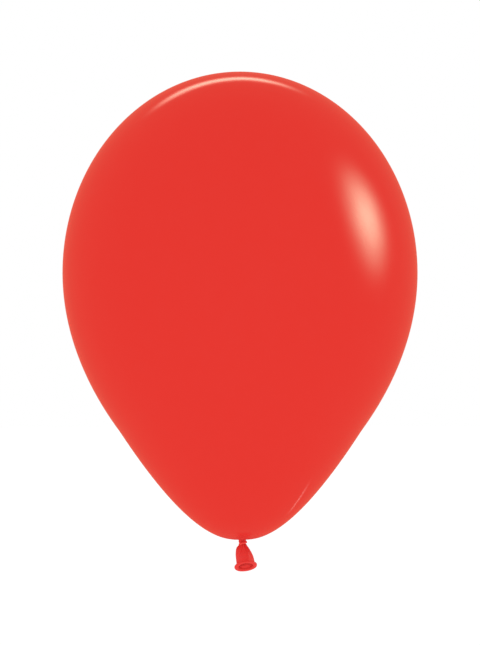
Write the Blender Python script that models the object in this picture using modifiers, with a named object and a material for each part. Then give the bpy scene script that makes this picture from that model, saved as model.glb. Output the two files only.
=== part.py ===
"""A round latex balloon, inflated and tied off in an overhand knot.

Metres, +Z up. The origin is in the groove between the inflated body and the knot, where a ribbon ties.
"""

import math

import bpy
from mathutils import Matrix, Vector

# Inflated body
BODY_RADIUS = 0.150
BODY_HEIGHT = 0.3955  # crown above the groove
EQUATOR_HEIGHT = 0.2255
SHOULDER_RADIUS = 0.101  # where the belly passes into the straight taper
SHOULDER_HEIGHT = 0.090
TAPER_ANGLE = math.radians(33.2)  # of the taper from the vertical
BELLY_HANDLE = 0.073
SHOULDER_HANDLE = 0.011
TAPER_HANDLE = 0.103
BASE_HANDLE = 0.0145
NECK_HOLE_RADIUS = 0.0026
BODY_FILM = 0.0001

# Gathered film that closes the hole
GATHER_DEPTH = 0.0012  # inside the body
GATHER_DROP = 0.0003  # below the hole
GATHER_TOP_SHARE = 0.6  # radius of its top, as a share of its radius at the hole
GATHER_WAIST_SHARE = 0.7  # of the drop, where it is half way to its narrow end
PLEATS = 9
POINTS_PER_PLEAT = 4
PLEAT_SHARE = 0.09  # height of a pleat as a share of the radius it stands on

# Knot
STRAND_RADIUS = 0.00065
STRAND_GAP = 0.0001
CLIMB_SPARE = 0.0004  # what the wrap climbs beyond clearing itself
TWIST_SHARE = 1.75  # from the knot's axis to each twisted strand, in strand radii
TURN_LEAD = math.radians(43)  # how far round the wrap the end turns lie
ENTRY_SHARE = 0.25  # from the knot's axis to the entry, as a share of the twist
WRAP_STEPS = 8  # in a whole turn of the wrap
WRAP_START = 2  # steps that the turn from the foot takes up, and the turn in at the top

# Tail and lip
NECK_FILM = 0.0003
THROAT_RADIUS = 0.00045
THROAT_CAP_SHARE = 0.3  # radius of the flat that closes the throat, in throat radii
THROAT_HANDLE_SHARE = 1.6
FLARE_LENGTH = 0.009
BELL_RADIUS = 0.0073
BELL_HANDLE_SHARE = 0.82
TAIL_LENGTH = 0.0155
LIP_RING_RADIUS = 0.00745
LIP_ROLL_RADIUS = 0.00185
TAIL_LEAN = math.radians(-8)
MOUTH_TURN = math.radians(24)

GAP = 0.0003  # between neighbouring pieces

# Fineness of the meshes
BODY_STEPS = 56
DOME_POINTS = 13
BELLY_POINTS = 9
BASE_POINTS = 12
FLARE_POINTS = 11
SKIRT_STEPS = 4
TAIL_SIDES = 36
LIP_SIDES = 12
STRAND_POINTS = 5
STRAND_ROUNDING = 2
MERGE = 0.00005
PIVOT_SIZE = 0.004

# Finishes
STRETCHED_RED = (0.79, 0.045, 0.033)
STRETCHED_ROUGHNESS = 0.22
RELAXED_RED = (0.72, 0.032, 0.024)
RELAXED_ROUGHNESS = 0.34


def clear_scene():
    for obj in list(bpy.data.objects):
        bpy.data.objects.remove(obj, do_unlink=True)


def collection(name):
    made = bpy.data.collections.new(name)
    bpy.context.scene.collection.children.link(made)
    return made


def latex(name, colour, roughness):
    material = bpy.data.materials.new(name)
    material.use_nodes = True
    shader = material.node_tree.nodes["Principled BSDF"]
    shader.inputs["Base Color"].default_value = (*colour, 1.0)
    shader.inputs["Roughness"].default_value = roughness
    shader.inputs["Metallic"].default_value = 0.0
    return material


def new_object(name, data, material, home, parent=None, place=None):
    obj = bpy.data.objects.new(name, data)
    data.materials.append(material)
    home.objects.link(obj)
    obj.parent = parent
    if place is not None:
        obj.matrix_local = place
    return obj


def pivot(name, location, home, parent=None):
    """An empty on a joint's axis. Its location is in its parent's space."""
    empty = bpy.data.objects.new(name, None)
    empty.empty_display_size = PIVOT_SIZE
    home.objects.link(empty)
    empty.parent = parent
    empty.location = location
    return empty


def bezier(start, start_handle, end_handle, end, count):
    points = []
    for i in range(count):
        t = i / (count - 1)
        u = 1 - t
        points.append(
            start * u**3 + start_handle * 3 * u * u * t + end_handle * 3 * u * t * t + end * t**3
        )
    return points


def body_outline():
    """Radius and height from the crown down the outer side to the neck hole."""
    dome_height = BODY_HEIGHT - EQUATOR_HEIGHT
    dome = []
    for i in range(DOME_POINTS):
        angle = math.pi / 2 * i / (DOME_POINTS - 1)
        across = BODY_RADIUS * math.sin(angle)
        dome.append(Vector((across, EQUATOR_HEIGHT + dome_height * math.cos(angle))))
    taper = Vector((math.sin(TAPER_ANGLE), math.cos(TAPER_ANGLE)))
    equator = Vector((BODY_RADIUS, EQUATOR_HEIGHT))
    shoulder = Vector((SHOULDER_RADIUS, SHOULDER_HEIGHT))
    hole = Vector((NECK_HOLE_RADIUS, 0))
    belly = bezier(
        equator,
        equator - Vector((0, BELLY_HANDLE)),
        shoulder + taper * SHOULDER_HANDLE,
        shoulder,
        BELLY_POINTS,
    )
    base = bezier(
        shoulder,
        shoulder - taper * TAPER_HANDLE,
        hole + Vector((BASE_HANDLE, 0)),
        hole,
        BASE_POINTS,
    )
    return dome + belly[1:] + base[1:]


def wall(obj, thickness):
    """Thickens an open surface inwards."""
    solidify = obj.modifiers.new("Wall", "SOLIDIFY")
    solidify.thickness = thickness
    solidify.offset = -1
    solidify.use_even_offset = True


def make_body(material, home):
    outline = [(radius, 0, height) for radius, height in body_outline()]
    edges = [(i, i + 1) for i in range(len(outline) - 1)]
    mesh = bpy.data.meshes.new("balloon_body")
    mesh.from_pydata(outline, edges, [])
    body = new_object("balloon_body", mesh, material, home)
    screw = body.modifiers.new("Turn", "SCREW")
    screw.steps = BODY_STEPS
    screw.render_steps = BODY_STEPS
    screw.use_merge_vertices = True
    screw.merge_threshold = MERGE
    screw.use_smooth_shade = True
    wall(body, BODY_FILM)
    return body


def loft(name, rings, close_end):
    """A smooth mesh through equal rings of points. The start is closed, the end if asked."""
    sides = len(rings[0])
    points = [point for ring in rings for point in ring]
    faces = [list(range(sides))]
    for row in range(len(rings) - 1):
        for i in range(sides):
            j = (i + 1) % sides
            low, high = row * sides, (row + 1) * sides
            faces.append((low + j, low + i, high + i, high + j))
    if close_end:
        last = (len(rings) - 1) * sides
        faces.append([last + i for i in reversed(range(sides))])
    mesh = bpy.data.meshes.new(name)
    mesh.from_pydata(points, [], faces)
    mesh.shade_smooth()
    return mesh


def ring(radius, height, sides, pleat=0.0):
    """A ring of points about Z, anticlockwise from above, with pleats of the given share."""
    points = []
    for i in range(sides):
        angle = 2 * math.pi * i / sides
        across = radius * (1 + pleat * math.cos(PLEATS * angle))
        points.append(Vector((across * math.cos(angle), across * math.sin(angle), height)))
    return points


def make_gather(material, home):
    """The bunched film that plugs the neck hole and narrows to the strand of the knot."""
    mouth = (NECK_HOLE_RADIUS - GAP) / (1 + PLEAT_SHARE)
    narrow = STRAND_RADIUS + GAP
    sides = POINTS_PER_PLEAT * PLEATS
    rings = [
        ring(mouth * GATHER_TOP_SHARE, GATHER_DEPTH, sides, PLEAT_SHARE),
        ring(mouth, GATHER_DEPTH / 2, sides, PLEAT_SHARE),
        ring(mouth, 0, sides, PLEAT_SHARE),
        ring((mouth + narrow) / 2, -GATHER_DROP * GATHER_WAIST_SHARE, sides, PLEAT_SHARE),
        ring(narrow, -GATHER_DROP, sides, PLEAT_SHARE),
    ]
    return new_object("neck_gather", loft("neck_gather", rings, True), material, home)


def smooth_route(points, count):
    """Catmull-Rom curve through the points, with count steps between each two."""
    padded = [2 * points[0] - points[1], *points, 2 * points[-1] - points[-2]]
    route = []
    for a, b, c, d in zip(padded, padded[1:], padded[2:], padded[3:]):
        for i in range(count):
            t = i / count
            route.append(
                b
                + (c - a) * (t / 2)
                + (2 * a - 5 * b + 4 * c - d) * (t * t / 2)
                + (3 * b - a - 3 * c + d) * (t**3 / 2)
            )
    route.append(points[-1])
    return route


def around(radius, angle, height):
    return Vector((radius * math.cos(angle), radius * math.sin(angle), height))


def knot_sizes():
    """Radii of the twisted pair and of the wrap, the wrap's climb and the knot's height."""
    beside = 2 * STRAND_RADIUS + STRAND_GAP
    core = TWIST_SHARE * STRAND_RADIUS
    climb = beside + CLIMB_SPARE
    return core, core + beside, climb, beside + climb + 2 * STRAND_RADIUS


def knot_route():
    """Overhand knot, down from its entry at the origin.

    The entering strand and the leaving strand twist half a turn about each other. Between them the
    film turns out at the foot, wraps once around both while it climbs, and turns in at the top.
    """
    core, wrap, climb, height = knot_sizes()
    bend = (wrap - core) / 2
    top, foot = -STRAND_RADIUS, STRAND_RADIUS - height
    wrap_top, wrap_foot = top - bend, foot + bend
    halfway = (wrap_top + wrap_foot) / 2
    pair = ((0, wrap_top), (math.pi / 2, halfway), (math.pi, wrap_foot))
    entry = core * ENTRY_SHARE
    route = [Vector((entry, 0, 0)), Vector((entry, 0, top / 2))]
    route += [around(core, angle, level) for angle, level in pair]
    route.append(around(core + bend, math.pi + TURN_LEAD, foot))
    for step in range(WRAP_START, WRAP_STEPS - WRAP_START + 1):
        angle = math.pi * (1 + 2 * step / WRAP_STEPS)
        route.append(around(wrap, angle, wrap_foot + climb * step / WRAP_STEPS))
    route.append(around(core + bend, math.pi - TURN_LEAD, top))
    route += [around(core, math.pi + angle, level) for angle, level in pair]
    route.append(Vector((core, 0, -height)))
    return route


def make_knot(material, home, parent):
    curve = bpy.data.curves.new("knot_loop", "CURVE")
    curve.dimensions = "3D"
    curve.bevel_depth = STRAND_RADIUS
    curve.bevel_resolution = STRAND_ROUNDING
    curve.use_fill_caps = True
    route = smooth_route(knot_route(), STRAND_POINTS)
    spline = curve.splines.new("POLY")
    spline.points.add(len(route) - 1)
    for point, place in zip(spline.points, route):
        point.co = (*place, 1.0)
    return new_object("knot_loop", curve, material, home, parent)


def tail_frame(distance):
    """Place and turn of the tail's cross-section at a distance down its axis from the pivot."""
    if distance <= 0:
        return Matrix.Translation((0, 0, -distance))
    turn = MOUTH_TURN * distance / TAIL_LENGTH
    bend = TAIL_LENGTH / MOUTH_TURN
    place = Vector((0, -bend * (1 - math.cos(turn)), -bend * math.sin(turn)))
    return Matrix.Translation(place) @ Matrix.Rotation(-turn, 4, "X")


def tail_outline():
    """Radius and distance down the axis, from the rounded throat to the lip."""
    flare = bezier(
        Vector((THROAT_RADIUS * THROAT_CAP_SHARE, -THROAT_RADIUS)),
        Vector((THROAT_RADIUS * THROAT_HANDLE_SHARE, -THROAT_RADIUS)),
        Vector((BELL_RADIUS * BELL_HANDLE_SHARE, FLARE_LENGTH / 2)),
        Vector((BELL_RADIUS, FLARE_LENGTH)),
        FLARE_POINTS,
    )
    mouth = Vector((LIP_RING_RADIUS, TAIL_LENGTH))
    skirt = [flare[-1].lerp(mouth, (i + 1) / SKIRT_STEPS) for i in range(SKIRT_STEPS)]
    return flare + skirt


def make_tail(material, home, parent):
    rings = []
    for radius, distance in tail_outline():
        fade = max(0.0, 1 - distance / FLARE_LENGTH)
        frame = tail_frame(distance)
        rings.append([frame @ p for p in ring(radius, 0, TAIL_SIDES, PLEAT_SHARE * fade)])
    mesh = loft("neck_tail", rings, False)
    tail = new_object("neck_tail", mesh, material, home, parent)
    wall(tail, NECK_FILM)
    return tail


def make_lip(material, home, parent):
    """The rolled bead, one roll radius and a gap past the end of the film."""
    bpy.ops.mesh.primitive_torus_add(
        major_radius=LIP_RING_RADIUS,
        minor_radius=LIP_ROLL_RADIUS,
        major_segments=TAIL_SIDES,
        minor_segments=LIP_SIDES,
    )
    made = bpy.context.object
    mesh = made.data
    bpy.data.objects.remove(made)
    mesh.name = "rolled_lip"
    mesh.shade_smooth()
    end = tail_frame(TAIL_LENGTH)
    down = Matrix.Translation((0, 0, -GAP - LIP_ROLL_RADIUS))
    return new_object("rolled_lip", mesh, material, home, parent, end @ down)


def main():
    clear_scene()
    home = collection("latex_balloon")
    stretched = latex("stretched_latex", STRETCHED_RED, STRETCHED_ROUGHNESS)
    relaxed = latex("relaxed_latex", RELAXED_RED, RELAXED_ROUGHNESS)

    make_body(stretched, home)
    make_gather(relaxed, home)

    knot_pivot = pivot("knot_pivot", (0, 0, -GATHER_DROP - GAP), home)
    make_knot(relaxed, home, knot_pivot)

    core, _, _, knot_height = knot_sizes()
    below_knot = (core, 0, -knot_height - GAP - THROAT_RADIUS)
    tail_pivot = pivot("tail_pivot", below_knot, home, knot_pivot)
    tail_pivot.rotation_euler = (0, TAIL_LEAN, 0)
    make_tail(relaxed, home, tail_pivot)
    make_lip(relaxed, home, tail_pivot)


main()
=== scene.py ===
"""Looks of a round latex balloon, tied off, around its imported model."""

import math

import bmesh
import bpy
from mathutils import Matrix, Vector, noise


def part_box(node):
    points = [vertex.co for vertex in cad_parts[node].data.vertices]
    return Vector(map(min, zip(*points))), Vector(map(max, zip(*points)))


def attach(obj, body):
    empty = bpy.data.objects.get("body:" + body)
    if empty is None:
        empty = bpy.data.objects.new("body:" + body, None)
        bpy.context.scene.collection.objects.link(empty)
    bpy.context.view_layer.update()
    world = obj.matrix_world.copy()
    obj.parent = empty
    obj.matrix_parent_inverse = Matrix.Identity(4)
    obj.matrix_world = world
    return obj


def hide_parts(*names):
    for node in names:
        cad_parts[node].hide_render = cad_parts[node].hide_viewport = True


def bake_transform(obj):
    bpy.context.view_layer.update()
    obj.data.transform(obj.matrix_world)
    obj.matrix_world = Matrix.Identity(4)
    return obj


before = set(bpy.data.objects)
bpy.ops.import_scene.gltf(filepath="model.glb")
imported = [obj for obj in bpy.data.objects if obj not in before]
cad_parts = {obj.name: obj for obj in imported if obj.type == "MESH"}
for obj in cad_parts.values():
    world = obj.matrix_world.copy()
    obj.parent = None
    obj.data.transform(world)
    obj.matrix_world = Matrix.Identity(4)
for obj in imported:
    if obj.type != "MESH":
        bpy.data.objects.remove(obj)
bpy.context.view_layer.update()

MM = 0.001

# Inflated film: its outline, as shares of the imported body's radius and height
BODY_LOW, BODY_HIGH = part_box("balloon_body")
BODY_RADIUS = (BODY_HIGH.x - BODY_LOW.x) / 2
BODY_HEIGHT = BODY_HIGH.z
EQUATOR_HEIGHT = 0.5702 * BODY_HEIGHT
SHOULDER = Vector((0.6733 * BODY_RADIUS, 0.2276 * BODY_HEIGHT))
TAPER_ANGLE = math.radians(33.2)
BELLY_HANDLE = 0.073
SHOULDER_HANDLE = 0.011
TAPER_HANDLE = 0.103
BASE_HANDLE = 0.0145
HOLE_RADIUS = 2.6 * MM
BODY_SIDES = 256
BELLY_POINTS = 48
TAPER_POINTS = 110
DOME_RINGS = 72
CROWN_CROWDING = 1.5  # above 1, the rings stand closer together towards the crown
PLEATS = 13
PLEAT_REACH = 4.0 * MM
PLEAT_DEPTH = 0.26 * MM
PLEAT_SPREAD = 0.4  # how far a pleat also moves the film out, as a share of its height
BODY_FILM = 0.1 * MM
GATHER_FLATNESS = 0.04
GATHER_PLEATS = 0.10  # height of its pleats, as a share of its radius
GATHER_STEPS = 4

# How bunched the film is, from 0 where it is stretched thin: its colour and gloss follow this. On
# the tail film the same value also holds a painted lift, which paints the throat lighter where the
# knot shades it
NECK_BUNCHED, NECK_BUNCHED_REACH, NECK_BUNCHED_TOP = 0.26, 20 * MM, 0.05
CROWN_BUNCHED, CROWN_BUNCHED_REACH, CROWN_BUNCHED_FOOT = 0.10, 12 * MM, 0.3
GATHER_BUNCHED = 0.6
KNOT_BUNCHED, KNOT_BUNCHED_FALL, KNOT_BUNCHED_REACH = 0.9, 0.6, 3 * MM
LIP_BUNCHED = 0.30

# Knot
KNOT_LOW, KNOT_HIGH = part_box("knot_loop")
KNOT_ENTRY = Vector((0.45 * MM, 0, -0.6 * MM))
STRAND = 1.03 * MM
KNOT_CORE = 0.95 * MM
KNOT_WRAP = 3.55 * MM
KNOT_CLIMB = 0.3 * MM
KNOT_LIFT = 0.6 * MM  # how much higher the wrap lies on its far side
KNOT_HEIGHT = 4.4 * MM
TURN_LEAD = math.radians(43)
KNOT_VOXEL = 0.11 * MM
KNOT_EASING, KNOT_EASING_ROUNDS = 0.5, 3
STRAND_SIDES = 40
ROUTE_STEPS = 6
WRAP_STEPS = 8  # in a whole turn of the wrap
WRAP_START = 2  # steps that the turn at the foot takes up, and the turn in at the top
KNOT_HEART_TOP = Vector((0.75 * MM, 0, -1.5 * MM))
KNOT_HEART_FOOT = Vector((1.0 * MM, 0, -4.15 * MM))
KNOT_HEART = 2.5 * MM  # radius of the film bunched inside the wrap
KNOT_HEART_STEPS = 12
KNOT_HEART_TIP = 0.8  # its radius at each end, as a share of its middle

# Tail and lip
TAIL_PIVOT = Vector((1.1375 * MM, 0, -5.85 * MM))
TAIL_LEAN = math.radians(-8)
MOUTH_TURN = math.radians(24)
TAIL_LENGTH = 15.5 * MM
TAIL_TOP = 2.2  # millimetres above its pivot where its pleats start to fade
TAIL_SPAN = 18.5  # millimetres over which they fade
TAIL_STEPS = 10
THROAT_PLEATS = 0.17  # height of the pleats at the throat, as a share of the radius
THROAT_PLEATS_REACH = 0.30
TAIL_RIPPLES = 0.012
TAIL_SLACK = 0.05
TAIL_FILM = 0.28 * MM
TAIL_SIDES = 216
# Slack film at the back of the tail: its most fall as a share of the radius, where along the tail
# that is, over how much of it, where it ends, and how far before that it eases out
OUTSIDE_FALL = (0.24, 10.5 * MM, 5.0 * MM, 16.9 * MM, 5.0 * MM)
INSIDE_FALL = (0.70, 13.0 * MM, 5.6 * MM, 17.4 * MM, 1.9 * MM)
NEAR_THINNER = 0.50  # how much thinner the bead is on its near side
NEAR_RAISED = 0.5 * MM  # how much further up the tail it lies there
LIP_RING = 7.75 * MM
LIP_ROLL = 1.75 * MM
LIP_ASIDE = 0.25 * MM
LIP_CENTRE = 1.5 * MM  # past the end of the film
LIP_TURNS = 240
LIP_SIDES = 72
LAYER_STEP = 0.17  # height of the step at the outermost layer's end, as a share of the roll
LAYER_EDGE = 0.85  # radians round the roll to that end

# Camera
VIEW_DISTANCE = 3.0
VIEW_HEIGHT = 0.5455  # height that the view takes in at the balloon
AIM = Vector((-0.0002, 0, 0.1836))
ROLL = math.radians(0.25)
SENSOR = 36.0
PANEL_SPREAD = 5.0  # how wide a light panel is beside its reach

FLOOR_DROP = 0.32
FLOOR_RADIUS = 14
WHITE = (1, 1, 1)
WARM_SURROUNDINGS = (0.84, 0.17, 0.11)  # what the gloss mirrors between the panels


def bezier(start, start_handle, end_handle, end, count):
    points = []
    for i in range(count):
        t = i / (count - 1)
        u = 1 - t
        points.append(
            start * u**3 + start_handle * 3 * u * u * t + end_handle * 3 * u * t * t + end * t**3
        )
    return points


def smooth_route(points, count):
    """Catmull-Rom curve through the points, with count steps between each two."""
    padded = [2 * points[0] - points[1], *points, 2 * points[-1] - points[-2]]
    route = []
    for a, b, c, d in zip(padded, padded[1:], padded[2:], padded[3:]):
        for i in range(count):
            t = i / count
            route.append(
                b
                + (c - a) * (t / 2)
                + (2 * a - 5 * b + 4 * c - d) * (t * t / 2)
                + (3 * b - a - 3 * c + d) * (t**3 / 2)
            )
    route.append(points[-1])
    return route


def around(radius, angle, height):
    return Vector((radius * math.cos(angle), radius * math.sin(angle), height))


def waver(x, y, seed, scale=1.0):
    """Smooth irregularity between -1 and 1."""
    return noise.noise(Vector((x * scale, y * scale, seed)))


def skin(name, rings, material, close_start=False, close_end=False, loop=False):
    """A smooth object through equal rings of points, wound so that it faces out when they run down
    the outer side anticlockwise from above."""
    sides = len(rings[0])
    points = [point for ring in rings for point in ring]
    faces = []
    rows = len(rings)
    for row in range(rows if loop else rows - 1):
        after = (row + 1) % rows
        for i in range(sides):
            j = (i + 1) % sides
            faces.append((row * sides + j, row * sides + i, after * sides + i, after * sides + j))
    if close_start:
        faces.append(list(range(sides)))
    if close_end:
        faces.append([(rows - 1) * sides + i for i in reversed(range(sides))])
    mesh = bpy.data.meshes.new(name)
    mesh.from_pydata(points, [], faces)
    mesh.shade_smooth()
    mesh.materials.append(material)
    obj = bpy.data.objects.new(name, mesh)
    bpy.context.scene.collection.objects.link(obj)
    return obj


def apply_modifiers(obj):
    """Makes the evaluated mesh the object's own."""
    graph = bpy.context.evaluated_depsgraph_get()
    mesh = bpy.data.meshes.new_from_object(obj.evaluated_get(graph))
    obj.modifiers.clear()
    obj.data = mesh
    mesh.shade_smooth()
    return obj


def set_bunched_and_lift(obj, amount):
    """Stores how bunched the film is at each point, from 0 to 1. On the tail the value also holds
    the painted lift that paints the throat lighter against its shade.
    """
    mesh = obj.data
    layer = mesh.attributes.new("film_bunched_and_lift", "FLOAT", "POINT")
    for item, vertex in zip(layer.data, mesh.vertices):
        item.value = min(1.0, max(0.0, amount(vertex.co)))


# ---------------------------------------------------------------- materials


def new_group(name, inputs, outputs):
    group = bpy.data.node_groups.new(name, "ShaderNodeTree")
    for label, kind, value in inputs:
        socket = group.interface.new_socket(label, in_out="INPUT", socket_type=kind)
        socket.default_value = value
    for label, kind in outputs:
        group.interface.new_socket(label, in_out="OUTPUT", socket_type=kind)
    return group, group.nodes.new("NodeGroupInput"), group.nodes.new("NodeGroupOutput")


def node(tree, kind, **settings):
    made = tree.nodes.new(kind)
    for key, value in settings.items():
        setattr(made, key, value)
    return made


def math_node(tree, operation, first, second, clamp=False):
    made = node(tree, "ShaderNodeMath", operation=operation, use_clamp=clamp)
    for socket, value in zip(made.inputs, (first, second)):
        if isinstance(value, bpy.types.NodeSocket):
            tree.links.new(value, socket)
        else:
            socket.default_value = value
    return made.outputs[0]


def noise_value(tree, coordinate, scale, detail=2.0, roughness=0.5):
    made = node(tree, "ShaderNodeTexNoise")
    made.inputs["Detail"].default_value = detail
    made.inputs["Roughness"].default_value = roughness
    tree.links.new(coordinate, made.inputs["Vector"])
    if isinstance(scale, bpy.types.NodeSocket):
        tree.links.new(scale, made.inputs["Scale"])
    else:
        made.inputs["Scale"].default_value = scale
    return made.outputs["Fac"]


def mix_colour(tree, factor, first, second):
    made = node(tree, "ShaderNodeMix", data_type="RGBA")
    for key, value in ((0, factor), (6, first), (7, second)):
        if isinstance(value, bpy.types.NodeSocket):
            tree.links.new(value, made.inputs[key])
        else:
            made.inputs[key].default_value = value
    return made.outputs[2]


def film_colour_group():
    """Colour of latex film: it shifts where the film is bunched, and where the tail's throat is
    painted lighter against its shade, with clouds, specks and bloom.
    """
    group, given, out = new_group(
        "film_colour",
        [
            ("Open Colour", "NodeSocketColor", (0.75, 0.02, 0.01, 1)),
            ("Bunched Colour", "NodeSocketColor", (0.5, 0.01, 0.01, 1)),
            ("Cloud Scale", "NodeSocketFloat", 20.0),
            ("Cloud Amount", "NodeSocketFloat", 0.1),
            ("Speck Scale", "NodeSocketFloat", 900.0),
            ("Speck Amount", "NodeSocketFloat", 0.1),
            ("Bloom Colour", "NodeSocketColor", (0.9, 0.5, 0.45, 1)),
            ("Bloom Scale", "NodeSocketFloat", 300.0),
            ("Bloom Amount", "NodeSocketFloat", 0.01),
        ],
        [("Colour", "NodeSocketColor")],
    )
    place = node(group, "ShaderNodeTexCoord").outputs["Object"]
    bunched_and_lift = node(group, "ShaderNodeAttribute", attribute_name="film_bunched_and_lift").outputs["Fac"]
    lengthwise = node(group, "ShaderNodeVectorMath", operation="MULTIPLY")
    lengthwise.inputs[1].default_value = (1.0, 1.0, 0.35)
    group.links.new(place, lengthwise.inputs[0])
    cloud = noise_value(group, lengthwise.outputs[0], given.outputs["Cloud Scale"], 3.0)
    speck = noise_value(group, place, given.outputs["Speck Scale"], 1.0)
    cloud = math_node(group, "SUBTRACT", cloud, 0.5)
    cloud = math_node(group, "MULTIPLY", cloud, given.outputs["Cloud Amount"])
    speck = math_node(group, "SUBTRACT", speck, 0.5)
    speck = math_node(group, "MULTIPLY", speck, given.outputs["Speck Amount"])
    total = math_node(group, "ADD", bunched_and_lift, cloud)
    total = math_node(group, "ADD", total, speck, clamp=True)
    colour = mix_colour(
        group, total, given.outputs["Open Colour"], given.outputs["Bunched Colour"]
    )
    bloom = noise_value(group, place, given.outputs["Bloom Scale"], 5.0, 0.65)
    bloom = math_node(group, "POWER", bloom, 2.0)
    bloom = math_node(group, "MULTIPLY", bloom, given.outputs["Bloom Amount"], clamp=True)
    colour = mix_colour(group, bloom, colour, given.outputs["Bloom Colour"])
    group.links.new(colour, out.inputs["Colour"])
    return group


def film_surface_group():
    """Relief and gloss of latex film: slow waves from dipping, a fine skin and a little powder."""
    group, given, out = new_group(
        "film_surface",
        [
            ("Wave Scale", "NodeSocketFloat", 30.0),
            ("Wave Height", "NodeSocketFloat", 0.1),
            ("Skin Scale", "NodeSocketFloat", 1500.0),
            ("Skin Height", "NodeSocketFloat", 0.02),
            ("Gloss Roughness", "NodeSocketFloat", 0.2),
            ("Powder Roughness", "NodeSocketFloat", 0.4),
            ("Powder Scale", "NodeSocketFloat", 60.0),
            ("Bunched Dulling", "NodeSocketFloat", 0.0),
        ],
        [("Roughness", "NodeSocketFloat"), ("Height", "NodeSocketFloat")],
    )
    place = node(group, "ShaderNodeTexCoord").outputs["Object"]
    wave = noise_value(group, place, given.outputs["Wave Scale"], 2.0)
    wave = math_node(group, "MULTIPLY", wave, given.outputs["Wave Height"])
    fine = noise_value(group, place, given.outputs["Skin Scale"], 2.0)
    fine = math_node(group, "MULTIPLY", fine, given.outputs["Skin Height"])
    height = math_node(group, "ADD", wave, fine)
    powder = noise_value(group, place, given.outputs["Powder Scale"], 6.0, 0.7)
    powder = math_node(group, "SUBTRACT", powder, 0.45)
    powder = math_node(group, "MULTIPLY", powder, 3.0, clamp=True)
    spread = math_node(
        group, "SUBTRACT", given.outputs["Powder Roughness"], given.outputs["Gloss Roughness"]
    )
    spread = math_node(group, "MULTIPLY", powder, spread)
    roughness = math_node(group, "ADD", given.outputs["Gloss Roughness"], spread)
    bunched_and_lift = node(group, "ShaderNodeAttribute", attribute_name="film_bunched_and_lift").outputs["Fac"]
    dulled = math_node(group, "MULTIPLY", bunched_and_lift, given.outputs["Bunched Dulling"])
    roughness = math_node(group, "ADD", roughness, dulled, clamp=True)
    group.links.new(roughness, out.inputs["Roughness"])
    group.links.new(height, out.inputs["Height"])
    return group


def latex(name, colour, surface, bump, specular, sheen=0.0):
    """A latex finish: colour and surface hold the values that its node groups take."""
    material = bpy.data.materials.new(name)
    material.use_nodes = True
    tree = material.node_tree
    shader = tree.nodes["Principled BSDF"]
    shader.inputs["IOR"].default_value = 1.5
    shader.inputs["Specular IOR Level"].default_value = specular
    shader.inputs["Sheen Weight"].default_value = sheen
    shader.inputs["Sheen Roughness"].default_value = 0.4
    shader.inputs["Metallic"].default_value = 0.0
    paint = node(tree, "ShaderNodeGroup", node_tree=FILM_COLOUR)
    for key, value in colour.items():
        paint.inputs[key].default_value = value
    relief = node(tree, "ShaderNodeGroup", node_tree=FILM_SURFACE)
    for key, value in surface.items():
        relief.inputs[key].default_value = value
    raised = node(tree, "ShaderNodeBump")
    raised.inputs["Strength"].default_value = 1.0
    raised.inputs["Distance"].default_value = bump
    tree.links.new(paint.outputs["Colour"], shader.inputs["Base Color"])
    tree.links.new(relief.outputs["Roughness"], shader.inputs["Roughness"])
    tree.links.new(relief.outputs["Height"], raised.inputs["Height"])
    tree.links.new(raised.outputs["Normal"], shader.inputs["Normal"])
    return material


FILM_COLOUR = film_colour_group()
FILM_SURFACE = film_surface_group()


def stretched_latex():
    return latex(
        "stretched_latex",
        {
            "Open Colour": (0.779, 0.0325, 0.0250, 1),
            "Bunched Colour": (0.690, 0.0190, 0.0150, 1),
            "Cloud Scale": 14.0,
            "Cloud Amount": 0.06,
            "Speck Scale": 1400.0,
            "Speck Amount": 0.06,
            "Bloom Scale": 120.0,
            "Bloom Amount": 0.006,
        },
        {
            "Wave Scale": 16.0,
            "Wave Height": 1.0,
            "Skin Scale": 900.0,
            "Skin Height": 0.012,
            "Gloss Roughness": 0.075,
            "Powder Roughness": 0.12,
            "Powder Scale": 50.0,
            "Bunched Dulling": 2.6,
        },
        bump=0.3 * MM,
        specular=0.5,
    )


def relaxed_latex(name, open_colour, bunched_lifted_colour):
    return latex(
        name,
        {
            "Open Colour": open_colour,
            "Bunched Colour": bunched_lifted_colour,
            "Cloud Scale": 160.0,
            "Cloud Amount": 0.25,
            "Speck Scale": 5000.0,
            "Speck Amount": 0.15,
            "Bloom Scale": 700.0,
            "Bloom Amount": 0.09,
        },
        {
            "Wave Scale": 420.0,
            "Wave Height": 0.6,
            "Skin Scale": 2600.0,
            "Skin Height": 0.25,
            "Gloss Roughness": 0.46,
            "Powder Roughness": 0.58,
            "Powder Scale": 500.0,
        },
        bump=0.12 * MM,
        specular=0.12,
        sheen=0.02,
    )


# ---------------------------------------------------------------- inflated film


def body_outline():
    """Radius and height down the outer side, finer towards the neck."""
    dome_height = BODY_HEIGHT - EQUATOR_HEIGHT
    dome = []
    for i in range(1, DOME_RINGS + 1):
        angle = math.pi / 2 * (i / DOME_RINGS) ** CROWN_CROWDING
        across = BODY_RADIUS * math.sin(angle)
        dome.append(Vector((across, EQUATOR_HEIGHT + dome_height * math.cos(angle))))
    taper = Vector((math.sin(TAPER_ANGLE), math.cos(TAPER_ANGLE)))
    equator = Vector((BODY_RADIUS, EQUATOR_HEIGHT))
    hole = Vector((HOLE_RADIUS, 0))
    belly = bezier(
        equator,
        equator - Vector((0, BELLY_HANDLE)),
        SHOULDER + taper * SHOULDER_HANDLE,
        SHOULDER,
        BELLY_POINTS,
    )
    base = bezier(
        SHOULDER,
        SHOULDER - taper * TAPER_HANDLE,
        hole + Vector((BASE_HANDLE, 0)),
        hole,
        TAPER_POINTS,
    )
    return dome + belly[1:] + base[1:]


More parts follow.
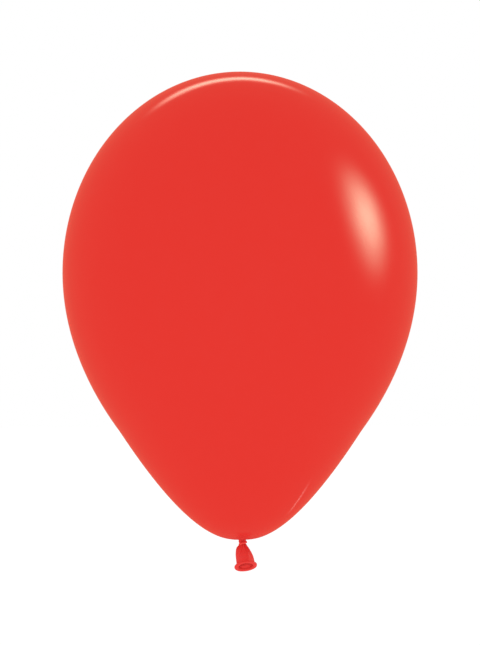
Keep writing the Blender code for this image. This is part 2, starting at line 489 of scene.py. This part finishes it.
def pleat_wave(angle, depth):
    """Uneven pleats round the neck, from -1 to 1. Depth shifts their spacing slowly."""
    drift = 0.22 * math.sin(2 * angle + 1.3) + 0.13 * math.sin(3 * angle + 0.4)
    folds = math.cos(PLEATS * (angle + drift))
    finer = 0.35 * math.cos((2 * PLEATS + 3) * angle + 1.1 + depth)
    return (folds + finer) / 1.35


def pleat_fade(radius, height):
    """Pleats stand at the neck only, so there are none above the equator."""
    if height > EQUATOR_HEIGHT:
        return 0.0
    return math.exp(-((max(0.0, radius - HOLE_RADIUS) / PLEAT_REACH) ** 1.2))


def make_body_film(material):
    rings = []
    outline = body_outline()
    for radius, height in outline:
        fade = pleat_fade(radius, height)
        ring = []
        for i in range(BODY_SIDES):
            angle = 2 * math.pi * i / BODY_SIDES
            lift = PLEAT_DEPTH * fade * pleat_wave(angle, 0)
            out, level = radius + PLEAT_SPREAD * lift, height - lift + PLEAT_DEPTH * fade
            ring.append(around(out, angle, level))
        rings.append(ring)
    body = skin("body_film", rings, material, close_start=True)
    wall = body.modifiers.new("Wall", "SOLIDIFY")
    wall.thickness = BODY_FILM
    wall.offset = -1
    apply_modifiers(body)

    def bunched_and_lift(p):
        across = math.hypot(p.x, p.y)
        amount = 0.0
        if p.z < NECK_BUNCHED_TOP:
            amount += NECK_BUNCHED * math.exp(-((across / NECK_BUNCHED_REACH) ** 2))
        if p.z > CROWN_BUNCHED_FOOT:
            amount += CROWN_BUNCHED * math.exp(-((across / CROWN_BUNCHED_REACH) ** 2))
        return amount

    set_bunched_and_lift(body, bunched_and_lift)
    return body


def make_gather(material):
    """The bunched neck film, from inside the body down into the top of the knot. Each row of the
    shape is a height, a radius and how far it leans over the knot's wrap."""
    shape = (
        (0.55, 1.9, 0.0), (0.30, 2.4, 0.0), (0.06, 2.75, 0.15), (-0.20, 2.9, 0.6),
        (-0.50, 2.95, 1.05), (-0.85, 2.9, 1.15), (-1.25, 2.6, 1.0), (-1.7, 2.2, 0.8),
        (-2.1, 1.6, 0.6),
    )
    rings = []
    for height, radius, aside in smooth_route([Vector(row) * MM for row in shape], GATHER_STEPS):
        deep = min(1.0, max(0.0, 0.5 - height / MM))
        ring = []
        for i in range(BODY_SIDES):
            angle = 2 * math.pi * i / BODY_SIDES
            pleat = GATHER_PLEATS * pleat_wave(angle, deep)
            point = around(radius * (1 + pleat), angle, height)
            point.y *= 1 - GATHER_FLATNESS * deep
            point.x += aside
            ring.append(point)
        rings.append(ring)
    gather = skin("gathered_neck", rings, material, close_start=True, close_end=True)
    set_bunched_and_lift(gather, lambda p: GATHER_BUNCHED)
    return gather


# ---------------------------------------------------------------- knot


def knot_route():
    """Overhand knot, down from its entry. The entering and the leaving strand twist half a turn
    about each other, and between them the film wraps once around both."""
    bend = (KNOT_WRAP - KNOT_CORE) / 2
    top, foot = -STRAND, STRAND - KNOT_HEIGHT
    wrap_top, wrap_foot = top - 0.5 * bend, foot + 0.5 * bend
    halfway = (wrap_top + wrap_foot) / 2
    pair = ((0, wrap_top), (math.pi / 2, halfway), (math.pi, wrap_foot))
    route = [Vector((KNOT_CORE / 4, 0, 0.3 * MM)), Vector((KNOT_CORE / 4, 0, top / 2))]
    route += [around(KNOT_CORE, angle, level) for angle, level in pair]
    route.append(around(KNOT_CORE + bend, math.pi + TURN_LEAD, foot))
    for step in range(WRAP_START, WRAP_STEPS - WRAP_START + 1):
        angle = math.pi * (1 + 2 * step / WRAP_STEPS)
        level = halfway + KNOT_CLIMB * (step / WRAP_STEPS - 0.5) + KNOT_LIFT * math.cos(angle)
        route.append(around(KNOT_WRAP, angle, level))
    route.append(around(KNOT_CORE + bend, math.pi - TURN_LEAD, top))
    route += [around(KNOT_CORE, math.pi + angle, level) for angle, level in pair]
    route.append(Vector((KNOT_CORE, 0, -KNOT_HEIGHT)))
    return [KNOT_ENTRY + point for point in smooth_route(route, ROUTE_STEPS)]


def tube_rings(route, section):
    """Rings across the route, carried along it without twist. section(share, angle) is a radius."""
    normal = Vector((0, 1, 0))
    rings = []
    for k, centre in enumerate(route):
        ahead = route[min(k + 1, len(route) - 1)] - route[max(k - 1, 0)]
        ahead.normalize()
        normal = (normal - ahead * normal.dot(ahead)).normalized()
        side = ahead.cross(normal)
        share = k / (len(route) - 1)
        ring = []
        for i in range(STRAND_SIDES):
            angle = -2 * math.pi * i / STRAND_SIDES
            radius = section(share, angle)
            ring.append(centre + (normal * math.cos(angle) + side * math.sin(angle)) * radius)
        rings.append(ring)
    return rings


def join_into(obj, other):
    """Adds the other's faces to the object, and removes the other."""
    both = bmesh.new()
    both.from_mesh(obj.data)
    both.from_mesh(other.data)
    both.to_mesh(obj.data)
    both.free()
    bpy.data.objects.remove(other)


def make_knot(material):
    """The knot's strands, swept as one pleated bundle of film and pressed into each other."""

    def section(share, angle):
        pleats = 0.12 * math.cos(5 * angle + 9 * share) + 0.06 * math.cos(9 * angle - 14 * share)
        lumps = 0.07 * waver(share * 9, math.cos(angle), 3.7)
        return STRAND * (1 + pleats + lumps)

    def heart_section(share, angle):
        blunt = (1 - abs(2 * share - 1) ** 6) * (1 - KNOT_HEART_TIP) + KNOT_HEART_TIP
        return KNOT_HEART * blunt * (1 + 0.05 * math.cos(7 * angle + 4 * share))

    knot = skin("knot", tube_rings(knot_route(), section), material, True, True)
    shares = [i / KNOT_HEART_STEPS for i in range(KNOT_HEART_STEPS + 1)]
    axis = [KNOT_HEART_TOP.lerp(KNOT_HEART_FOOT, share) for share in shares]
    heart = skin("heart", tube_rings(axis, heart_section), material, True, True)
    join_into(knot, heart)
    melt = knot.modifiers.new("Press together", "REMESH")
    melt.mode = "VOXEL"
    melt.voxel_size = KNOT_VOXEL
    ease = knot.modifiers.new("Ease", "SMOOTH")
    ease.factor = KNOT_EASING
    ease.iterations = KNOT_EASING_ROUNDS
    apply_modifiers(knot)
    middle = (KNOT_LOW + KNOT_HIGH) / 2

    def bunched_and_lift(p):
        across = math.hypot(p.x - middle.x, p.y)
        return KNOT_BUNCHED - KNOT_BUNCHED_FALL * across / KNOT_BUNCHED_REACH

    set_bunched_and_lift(knot, bunched_and_lift)
    return knot


# ---------------------------------------------------------------- tail and lip


def tail_frame(distance):
    """Place and turn of the tail's cross-section at a distance down its axis from the pivot."""
    start = Matrix.Translation(TAIL_PIVOT) @ Matrix.Rotation(TAIL_LEAN, 4, "Y")
    if distance <= 0:
        return start @ Matrix.Translation((0, 0, -distance))
    turn = MOUTH_TURN * distance / TAIL_LENGTH
    bend = TAIL_LENGTH / MOUTH_TURN
    place = Vector((0, -bend * (1 - math.cos(turn)), -bend * math.sin(turn)))
    return start @ Matrix.Translation(place) @ Matrix.Rotation(-turn, 4, "X")


def tail_profile():
    """Distance down the axis, radius, and sideways offset of the film, from the knot to the lip."""
    shape = (
        (-3.0, 1.7, 0.10), (-2.2, 2.35, 0.10), (-1.6, 2.85, 0.10), (-0.8, 3.5, -0.25),
        (0.2, 4.2, -0.50), (1.6, 5.0, -0.50), (3.6, 5.85, -0.30), (6.2, 6.75, 0.00),
        (9.5, 7.35, 0.45), (12.5, 7.6, 0.58),
        (14.6, 7.75, 0.48), (15.8, 7.85, 0.30), (16.9, 7.75, 0.25),
    )
    return smooth_route([Vector(point) * MM for point in shape], TAIL_STEPS)


def fallen_share(distance, fall):
    most, at, span, end, ease = fall
    eased = min(1.0, max(0.0, (end - distance) / ease))
    return most * math.exp(-(((distance - at) / span) ** 2)) * eased


def tail_rings(inset, fall):
    """Rings of the tail film from the knot to the lip, pleated at the throat."""
    rings = []
    for distance, radius, aside in tail_profile():
        radius -= inset
        frame_here = tail_frame(distance)
        down = max(0.0, (distance / MM + TAIL_TOP) / TAIL_SPAN)
        fold = THROAT_PLEATS * math.exp(-((down / THROAT_PLEATS_REACH) ** 1.5))
        crease = TAIL_RIPPLES * math.exp(-(((down - 0.62) / 0.3) ** 2))
        fallen = fallen_share(distance, fall)
        ring = []
        for i in range(TAIL_SIDES):
            angle = 2 * math.pi * i / TAIL_SIDES
            place = (math.cos(angle) * 1.6, math.sin(angle) * 1.6 + 2.2 * down)
            slack = TAIL_SLACK * waver(*place, 8.1)
            slack *= math.sin(math.pi * min(1.0, down))
            folds = fold * pleat_wave(angle + 0.4 * down, 2 * down)
            ripples = crease * math.cos(9 * angle + 5 * down)
            point = around(radius * (1 + folds + slack + ripples), angle, 0)
            if point.y > 0:
                point.y *= 1 - fallen * point.y / radius
            point.x += aside
            ring.append(frame_here @ point)
        rings.append(ring)
    return rings


def make_tail(material):
    """Slack film below the knot, with a fold of it fallen in at the back above the lip."""
    outside = tail_rings(0.0, OUTSIDE_FALL)
    inside = tail_rings(TAIL_FILM, INSIDE_FALL)
    tail = skin("tail_film", outside + inside[::-1], material, loop=True)
    throat = tail_frame(0).translation

    # Painted lift: the tail film is painted lighter at the throat, where the knot shades it.
    # Towards the lip it turns a little lighter again
    def bunched_and_lift(p):
        down = (throat - p).length / TAIL_LENGTH
        return 0.55 - 0.5 * min(1.0, down * 1.6) + 0.2 * max(0.0, down - 0.85)

    set_bunched_and_lift(tail, bunched_and_lift)
    return tail


def make_lip(material):
    """The rolled bead: a snail-shaped section, carried unevenly round the mouth."""
    place = tail_frame(TAIL_LENGTH) @ Matrix.Translation((LIP_ASIDE, 0, -LIP_CENTRE))
    rings = []
    for k in range(LIP_TURNS):
        way = 2 * math.pi * k / LIP_TURNS
        ring_radius = LIP_RING * (1 + 0.008 * math.cos(2 * way + 0.7) + 0.005 * math.cos(3 * way))
        thickness = LIP_ROLL * (1 + 0.05 * waver(math.cos(way) * 2, math.sin(way) * 2, 5.3))
        near = max(0.0, -math.sin(way)) ** 1.5
        thickness *= 1 - NEAR_THINNER * near
        edge = LAYER_EDGE + 0.25 * math.sin(way * 2 + 1)  # where the outermost layer ends
        ring = []
        for i in range(LIP_SIDES):
            angle = -2 * math.pi * i / LIP_SIDES
            wound = ((angle - edge) / (2 * math.pi)) % 1.0
            layer = LAYER_STEP * (wound - 0.5) * (1 - math.exp(-((1 - wound) / 0.02)))
            wrinkle = 0.007 * math.sin(46 * way + 3 * math.sin(5 * way) + 2 * angle)
            wrinkle *= max(0.0, waver(math.cos(way) * 3, math.sin(way) * 3, 1.9) + 0.35)
            radius = thickness * (1 + layer + wrinkle)
            outward = ring_radius + radius * math.cos(angle)
            ring.append(place @ around(outward, way, radius * math.sin(angle) + NEAR_RAISED * near))
        rings.append(ring)
    lip = skin("rolled_bead", rings, material, loop=True)
    set_bunched_and_lift(lip, lambda p: LIP_BUNCHED)
    return lip


# ---------------------------------------------------------------- stage


def link(obj):
    bpy.context.scene.collection.objects.link(obj)
    return obj


def make_camera():
    data = bpy.data.cameras.new("camera")
    data.sensor_width = SENSOR
    data.lens = SENSOR * VIEW_DISTANCE / VIEW_HEIGHT
    data.clip_start = 0.1
    data.clip_end = 60
    camera = link(bpy.data.objects.new("camera", data))
    level = Matrix.Rotation(math.pi / 2, 4, "X")
    camera.matrix_world = (
        Matrix.Translation(AIM + Vector((0, -VIEW_DISTANCE, 0)))
        @ Matrix.Rotation(ROLL, 4, "Y")
        @ level
    )
    bpy.context.scene.camera = camera


def direction(azimuth, elevation):
    """Unit vector at an azimuth from the front, turning to the right, and an elevation."""
    a, e = math.radians(azimuth), math.radians(elevation)
    return Vector((math.sin(a) * math.cos(e), -math.cos(a) * math.cos(e), math.sin(e)))


def softbox(name, target, azimuth, elevation, distance, reach, shape, strength, colour):
    """A panel of light that shows in the gloss only. It fades smoothly from its middle: reach is
    how far off its light has fallen to a third, across and up, and shape how steep each fade is."""
    bpy.ops.mesh.primitive_grid_add(x_subdivisions=4, y_subdivisions=4, size=1)
    panel = bpy.context.object
    panel.name = name
    towards = direction(azimuth, elevation)
    panel.location = target + towards * distance
    panel.rotation_euler = towards.to_track_quat("Z", "Y").to_euler()
    panel.scale = (reach[0] * PANEL_SPREAD, reach[1] * PANEL_SPREAD, 1)
    material = bpy.data.materials.new(name)
    material.use_nodes = True
    tree = material.node_tree
    tree.nodes.clear()
    out = node(tree, "ShaderNodeOutputMaterial")
    emission = node(tree, "ShaderNodeEmission")
    emission.inputs["Color"].default_value = (*colour, 1)
    place = node(tree, "ShaderNodeTexCoord").outputs["Object"]
    parts = node(tree, "ShaderNodeSeparateXYZ")
    tree.links.new(place, parts.inputs[0])
    fall = 0.0
    for axis, steepness in zip(("X", "Y"), shape):
        off = math_node(tree, "ABSOLUTE", parts.outputs[axis], 0)
        off = math_node(tree, "MULTIPLY", off, PANEL_SPREAD)
        off = math_node(tree, "POWER", off, steepness)
        fall = math_node(tree, "ADD", off, fall)
    fall = math_node(tree, "MULTIPLY", fall, -1.0)
    glow = math_node(tree, "EXPONENT", fall, 0)
    glow = math_node(tree, "MULTIPLY", glow, strength)
    tree.links.new(glow, emission.inputs["Strength"])
    both = node(tree, "ShaderNodeAddShader")
    tree.links.new(emission.outputs[0], both.inputs[0])
    tree.links.new(node(tree, "ShaderNodeBsdfTransparent").outputs[0], both.inputs[1])
    tree.links.new(both.outputs[0], out.inputs["Surface"])
    panel.data.materials.append(material)
    panel.visible_camera = False
    panel.visible_diffuse = False
    panel.visible_shadow = False


def make_lights():
    softbox(
        "overhead_strip", Vector((0, -0.050, 0.385)), azimuth=186.5, elevation=38.3, distance=1.5,
        reach=(0.46, 0.088), shape=(4, 2), strength=2.7, colour=(1.0, 1.0, 0.76),
    )
    softbox(
        "side_softbox", Vector((0.105, -0.097, 0.275)), azimuth=96.2, elevation=18.6, distance=1.5,
        reach=(0.33, 0.375), shape=(2, 2), strength=8.2, colour=(0.7, 1.0, 0.70),
    )
    softbox(
        "low_strip", Vector((0.0497, -0.038, 0.0381)), azimuth=142.5, elevation=-36.2, distance=0.5,
        reach=(0.055, 0.0068), shape=(4, 2), strength=1.3, colour=(1.0, 1.0, 0.9),
    )


def make_world():
    world = bpy.data.worlds.new("studio")
    bpy.context.scene.world = world
    world.use_nodes = True
    tree = world.node_tree
    tree.nodes.clear()
    out = node(tree, "ShaderNodeOutputWorld")
    seen = node(tree, "ShaderNodeBackground")
    lit = node(tree, "ShaderNodeBackground")
    gloss = node(tree, "ShaderNodeBackground")
    for background, colour in ((seen, WHITE), (lit, WHITE), (gloss, WARM_SURROUNDINGS)):
        background.inputs["Color"].default_value = (*colour, 1)
        background.inputs["Strength"].default_value = 1.0
    path = node(tree, "ShaderNodeLightPath")
    first = node(tree, "ShaderNodeMixShader")
    second = node(tree, "ShaderNodeMixShader")
    tree.links.new(path.outputs["Is Glossy Ray"], first.inputs[0])
    tree.links.new(lit.outputs[0], first.inputs[1])
    tree.links.new(gloss.outputs[0], first.inputs[2])
    tree.links.new(path.outputs["Is Camera Ray"], second.inputs[0])
    tree.links.new(first.outputs[0], second.inputs[1])
    tree.links.new(seen.outputs[0], second.inputs[2])
    tree.links.new(second.outputs[0], out.inputs["Surface"])


def make_floor():
    bpy.ops.mesh.primitive_circle_add(vertices=96, radius=FLOOR_RADIUS, fill_type="NGON")
    floor = bpy.context.object
    floor.name = "floor"
    floor.location = (0, 0, -FLOOR_DROP)
    material = bpy.data.materials.new("pale_floor")
    material.use_nodes = True
    shader = material.node_tree.nodes["Principled BSDF"]
    shader.inputs["Base Color"].default_value = (0.93, 0.93, 0.93, 1)
    shader.inputs["Roughness"].default_value = 0.9
    shader.inputs["Specular IOR Level"].default_value = 0.0
    shader.inputs["Emission Color"].default_value = (1, 1, 1, 1)
    shader.inputs["Emission Strength"].default_value = 0.12
    floor.data.materials.append(material)
    floor.visible_glossy = False


make_camera()
make_world()
make_lights()
make_floor()
bpy.context.scene.view_settings.view_transform = "Standard"

thin_film = stretched_latex()
# The gather's and the knot's film colours are painted lighter than the film's own. This paints a
# lift into the shade of the crevices between the body, the gather and the knot
bunched_film_painted_lighter = relaxed_latex("bunched_latex", (0.92, 0.062, 0.050, 1), (0.86, 0.050, 0.040, 1))
# Its bunched colour is lighter than its open colour. On the tail film this is a painted lift of the
# shade at the throat, and it paints the bead a little lighter all round
neck_film_lifted_at_throat = relaxed_latex("neck_latex", (0.82, 0.033, 0.027, 1), (0.86, 0.044, 0.036, 1))

body = make_body_film(thin_film)
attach(body, "balloon")
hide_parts("balloon_body")

gather = make_gather(bunched_film_painted_lighter)
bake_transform(gather)
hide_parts("neck_gather")

knot = make_knot(bunched_film_painted_lighter)
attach(knot, "knot")
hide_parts("knot_loop")

tail = make_tail(neck_film_lifted_at_throat)
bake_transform(tail)
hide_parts("neck_tail")

lip = make_lip(neck_film_lifted_at_throat)
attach(lip, "tail")
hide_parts("rolled_lip")
